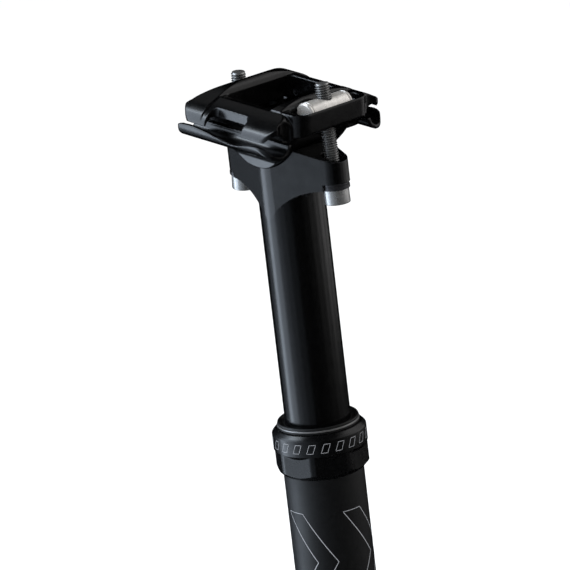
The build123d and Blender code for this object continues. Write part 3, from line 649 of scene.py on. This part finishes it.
def add_wiper_seal():
    outline = [
        (STANCHION_R + 0.04, 245.4), (STANCHION_R + 0.5, 245.15), (12.5, 245.5), (13.1, SEAL_TOP),
        (SEAL_R - 0.15, SEAL_TOP), (SEAL_R, 245.9), (SEAL_R, 245.5), (SEAL_R - 0.42, 245.4),
        (SEAL_R - 0.42, 244.7), (SEAL_R, 244.6), (SEAL_R, 244.05), (13.2, 244.05),
        (13.2, 240.45), (12.0, 240.45), (12.0, 243.6), (STANCHION_R + 0.6, 244.4),
        (STANCHION_R + 0.04, 244.9),
    ]
    turn_piece("wiper_seal_lip", outline, to_frame(), "outer", "seal_rubber", ("wiper_seal",), 0.15)
    ring_r, wire = SEAL_R - 0.07, 0.33
    outline = [(ring_r + wire * cos(2 * pi * k / 12), 245.05 + wire * sin(2 * pi * k / 12), 0)
               for k in range(12)]
    ring = turn_piece("seal_ring_wire", outline, to_frame(), "outer", SLOTS["seal_ring"],
                      ("seal_ring",), 0)
    ring.data.materials[0] = MATERIALS["ring_steel"]


# ---------------------------------------------------------------- spring
def add_main_spring():
    """Coil with closed, ground ends."""
    around, along = 14, 36
    bm = bmesh.new()
    rows = []
    total = int(SPRING_TURNS * along)
    low, high = SPRING_LOW + WIRE_R, SPRING_HIGH - WIRE_R
    for i in range(total + 1):
        turns = SPRING_TURNS * i / total
        closed_ends = SPRING_CLOSED_TURNS
        eased = min(max((turns - closed_ends) / (SPRING_TURNS - 2 * closed_ends), 0), 1)
        dead = min(turns, closed_ends) + max(turns - (SPRING_TURNS - closed_ends), 0)
        coil = 2 * WIRE_R * 1.01
        height = low + dead * coil + eased * (high - low - 2 * closed_ends * coil)
        angle = 2 * pi * turns
        centre = Vector((SPRING_R * cos(angle), SPRING_R * sin(angle), height))
        out = Vector((cos(angle), sin(angle), 0))
        row = []
        for k in range(around):
            t = 2 * pi * k / around
            p = centre + out * WIRE_R * cos(t) + Vector((0, 0, WIRE_R * sin(t)))
            p.z = min(max(p.z, SPRING_LOW + 0.1), SPRING_HIGH - 0.1)
            row.append(bm.verts.new(p * MM))
        rows.append(row)
    for a, b in zip(rows, rows[1:]):
        bridge(bm, a, b)
    bm.faces.new(list(reversed(rows[0])))
    bm.faces.new(rows[-1])
    mesh = finish_mesh(bm, "main_spring_coil")
    spring = add_piece("main_spring_coil", mesh, "outer", "spring_steel", ("main_spring",), 50.0)
    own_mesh(spring)


# ---------------------------------------------------------------- fasteners
def bolt_frame(end):
    """Matrix of a bolt: z up the bolt from the swivel's centre."""
    joint = JOINTS[f"{end}_bolt_turn"]
    up = -Vector(joint["axis"])
    return to_frame(joint["pos_m"], up, (1, 0, 0))


def thread_radius(angle, height, low, high):
    """Radius of an external M5 thread that runs out at both ends."""
    fade = min(1.0, (height - low) / (0.8 * BOLT_PITCH), (high - height) / (0.9 * BOLT_PITCH))
    phase = (height / BOLT_PITCH - angle / (2 * pi)) % 1.0
    tooth = min(max(abs(phase - 0.5) * 2 * 1.3 - 0.1, 0), 1)
    depth = (BOLT_R - BOLT_ROOT_R) * tooth * max(fade, 0)
    end_taper = 0.35 * max(0, 1 - (high - height) / 0.5)
    return BOLT_R - 0.02 - depth - end_taper


def add_thread(bm, matrix, low, high):
    """Threaded stretch between two heights; returns its first and last rings."""
    rows_per_pitch = 8
    count = int((high - low) / BOLT_PITCH * rows_per_pitch)
    rows = []
    for i in range(count + 1):
        height = low + (high - low) * i / count
        rows.append(add_ring(bm, matrix, lambda angle: thread_radius(angle, height, low, high),
                             height, BOLT_STEPS))
    for a, b in zip(rows, rows[1:]):
        bridge(bm, a, b)
    return rows[0], rows[-1]


def add_bolt(end):
    """Socket head screw, head down, threaded above its plain shank."""
    matrix = bolt_frame(end)
    seat = -CUP_BOTTOM - 0.02
    foot = seat - HEAD_LENGTH
    tip = seat + BOLT_LENGTH

    def hexagon(angle):
        return SOCKET_FLAT / cos((angle + pi / 6) % (pi / 3) - pi / 6)

    head = [
        (0, foot + SOCKET_DEPTH + 0.5), (hexagon, foot + SOCKET_DEPTH), (hexagon, foot + 0.15),
        (lambda angle: hexagon(angle) + 0.25, foot),
    ]
    shell = [
        (2.75, foot, 0), (HEAD_R, foot, 0.45), (HEAD_R, seat, 0.2), (BOLT_R + 0.2, seat, 0),
        (BOLT_R, seat + 0.2, 0), (BOLT_R, seat + BOLT_PLAIN, 0),
    ]
    bm = bmesh.new()
    rings = [(r[0], r[1]) for r in head] + rounded(shell, 0.3, closed=False)
    loops = [add_ring(bm, matrix, radius, height, BOLT_STEPS) for radius, height in rings]
    for a, b in zip(loops, loops[1:]):
        bridge(bm, a, b)
    first, last = add_thread(bm, matrix, seat + BOLT_PLAIN + 0.05, tip)
    bridge(bm, loops[-1], first)
    bm.faces.new(last)
    mesh = finish_mesh(bm, f"{end}_bolt_m5")
    add_piece(f"{end}_bolt_m5", mesh, f"{end}_screw", "zinc_steel", (f"{end}_bolt",), 70.0)


def add_washers(end):
    """Both halves of the spherical washer: the upper fixed in its lug, the lower on the screw."""
    swivel = Vector(JOINTS[f"{end}_bolt_swing"]["pos_m"])

    def ball(radius, extra=0.0):
        return -sqrt((SWIVEL_R + extra) ** 2 - radius * radius)

    seat = [(WASHER_R, ball(WASHER_R)), (WASHER_R, SEAT_TOP, 0.2), (3.4, SEAT_TOP), (3.4, ball(3.4)),
            (4.1, ball(4.1), 0)]
    turn_piece(f"{end}_seat_washer_turned", seat, to_frame(swivel), "upper_post", "black_steel",
               (f"{end}_seat_washer",), 0.1, 96)
    cup = [(WASHER_R, ball(WASHER_R, 0.05)), (WASHER_R, -CUP_BOTTOM, 0.2), (2.6, -CUP_BOTTOM),
           (2.6, ball(2.6, 0.05)), (3.7, ball(3.7, 0.05), 0)]
    turn_piece(f"{end}_cup_washer_turned", cup, bolt_frame(end), f"{end}_swivel", "black_steel",
               (f"{end}_cup_washer",), 0.1, 96)


def add_barrel_nut(end):
    """Turned nut: grooved near both ends, with a countersunk cross hole for the bolt."""
    centre = Vector(JOINTS[f"{end}_nut_turn"]["pos_m"])
    matrix = to_frame(centre, (0, 1, 0), (1, 0, 0))
    half, hole = NUT_HALF, NUT_HOLE_R
    groove, deep = 1.0, 0.28
    outline = [
        (0, -half, 0), (NUT_R - 0.5, -half), (NUT_R, -half + 0.5), (NUT_R, -half + groove),
        (NUT_R - deep, -half + groove + 0.05), (NUT_R - deep, -half + groove + 0.4),
        (NUT_R, -half + groove + 0.45), (NUT_R, half - groove - 0.45),
        (NUT_R - deep, half - groove - 0.4), (NUT_R - deep, half - groove - 0.05),
        (NUT_R, half - groove), (NUT_R, half - 0.5), (NUT_R - 0.5, half), (0, half, 0),
    ]
    mesh = loft_rings(f"{end}_barrel_nut_turned", rounded(outline, 0.12, closed=False), matrix, 144,
                      closed=False)
    nut = add_piece(f"{end}_barrel_nut_turned", mesh, f"{end}_nut", "polished_steel",
                    (f"{end}_barrel_nut",), 30.0)
    hole_frame = bolt_frame(end)
    hole_frame.translation = centre
    cutter_mesh = loft_rings("cutter", [(0, -6), (hole + 2.2, -6), (hole, -3.6), (hole, 3.6),
                                        (hole + 2.2, 6), (0, 6)], hole_frame, 64, closed=False)
    cutter = add_object("cutter", cutter_mesh)
    cut = nut.modifiers.new("cross_hole", "BOOLEAN")
    cut.operation = "DIFFERENCE"
    cut.solver = "EXACT"
    cut.object = cutter
    drilled = evaluated_mesh(nut)
    nut.modifiers.clear()
    nut.data = drilled
    drilled.set_sharp_from_angle(angle=radians(30.0))
    bpy.data.objects.remove(cutter)


# ---------------------------------------------------------------- everything
add_camera()
MATERIALS = make_materials()
add_studio()
for node_name, node_object in NODES.items():
    node_object.data.materials.clear()
    node_object.data.materials.append(MATERIALS[SLOTS[node_name]])

add_outer_tube()
add_tube_graphics()
add_lock_collar()
add_wiper_seal()
add_main_spring()
for which in ("front", "rear"):
    add_bolt(which)
    add_washers(which)
    add_barrel_nut(which)
forge_piece("upper_clamp_forging", "upper_clamp", "clamp")
forge_piece("lower_cradle_forging", "lower_cradle", "cradle")
